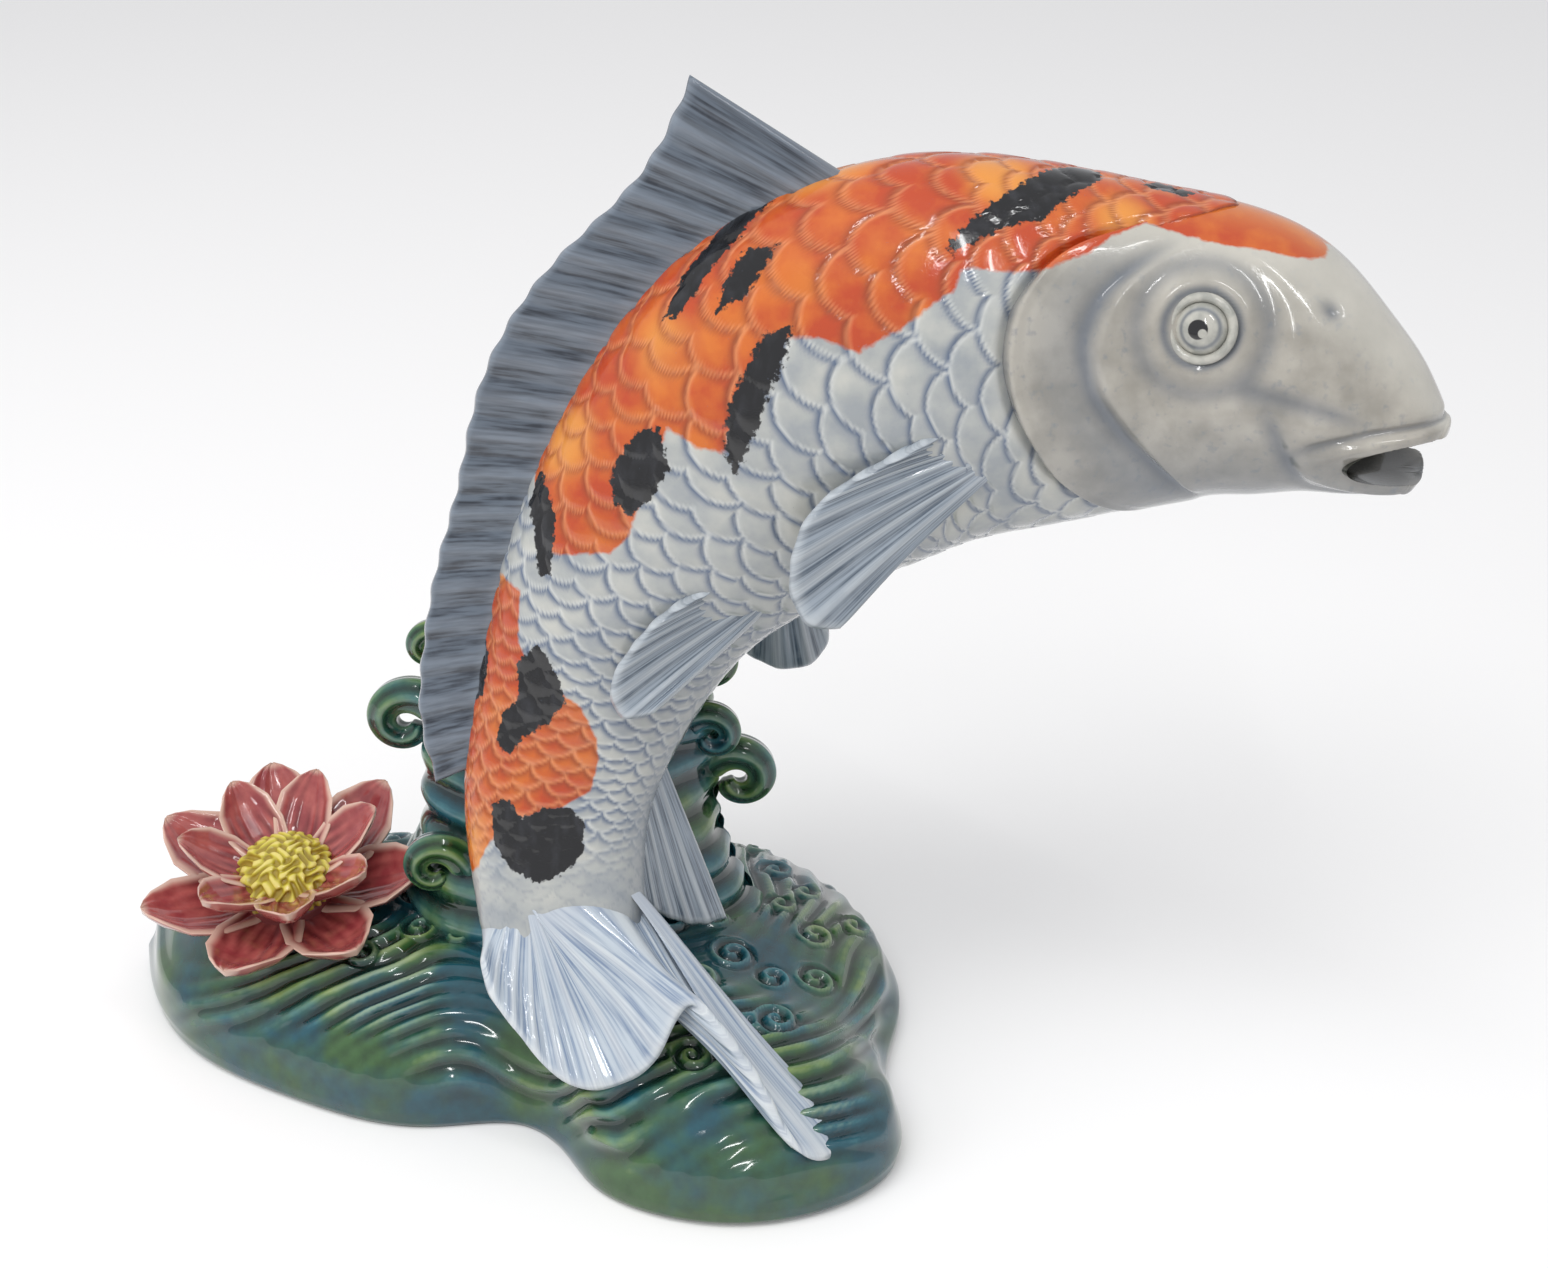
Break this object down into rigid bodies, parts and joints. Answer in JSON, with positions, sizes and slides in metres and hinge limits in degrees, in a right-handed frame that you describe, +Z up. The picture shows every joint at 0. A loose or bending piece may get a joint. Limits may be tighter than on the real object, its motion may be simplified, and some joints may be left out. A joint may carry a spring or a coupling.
{
  "type": "fish figurine",
  "caption": "Glazed pottery figurine of a leaping orange and white koi, propped on a curling green wave base with a pink water lily.",
  "frame": {"origin": "middle of the base's flat underside", "axes": "+Z up, +X from the lily to the fish's head, -Y the side that shows the fish's right flank"},
  "size_m": [0.2488, 0.1148, 0.1952],
  "materials": {
    "sea_glaze": "gloss glaze over dark teal and green brushwork",
    "koi_glaze": "gloss glaze over white, orange and black hand painting",
    "fin_glaze": "gloss glaze over blue-grey washes with darker streaks",
    "petal_glaze": "gloss glaze over dusty red, worn pale on the rims",
    "stamen_glaze": "gloss glaze over yellow"
  },
  "bodies": {
    "root": {"anal_fin": "fin_glaze", "dorsal_fin": "fin_glaze", "koi_body": "koi_glaze", "left_pectoral_fin": "fin_glaze", "left_pelvic_fin": "fin_glaze", "lily_inner_petal_1": "petal_glaze", "lily_inner_petal_2": "petal_glaze", "lily_inner_petal_3": "petal_glaze", "lily_inner_petal_4": "petal_glaze", "lily_inner_petal_5": "petal_glaze", "lily_inner_petal_6": "petal_glaze", "lily_inner_petal_7": "petal_glaze", "lily_outer_petal_1": "petal_glaze", "lily_outer_petal_2": "petal_glaze", "lily_outer_petal_3": "petal_glaze", "lily_outer_petal_4": "petal_glaze", "lily_outer_petal_5": "petal_glaze", "lily_outer_petal_6": "petal_glaze", "lily_outer_petal_7": "petal_glaze", "lily_receptacle": "petal_glaze", "lily_stamen_crown": "stamen_glaze", "right_pectoral_fin": "fin_glaze", "right_pelvic_fin": "fin_glaze", "tail_fin": "fin_glaze", "wave_base": "sea_glaze", "wave_column": "sea_glaze", "wave_curl_1": "sea_glaze", "wave_curl_2": "sea_glaze", "wave_curl_3": "sea_glaze", "wave_curl_4": "sea_glaze", "wave_curl_5": "sea_glaze", "wave_curl_6": "sea_glaze"}
  },
  "joints": []
}
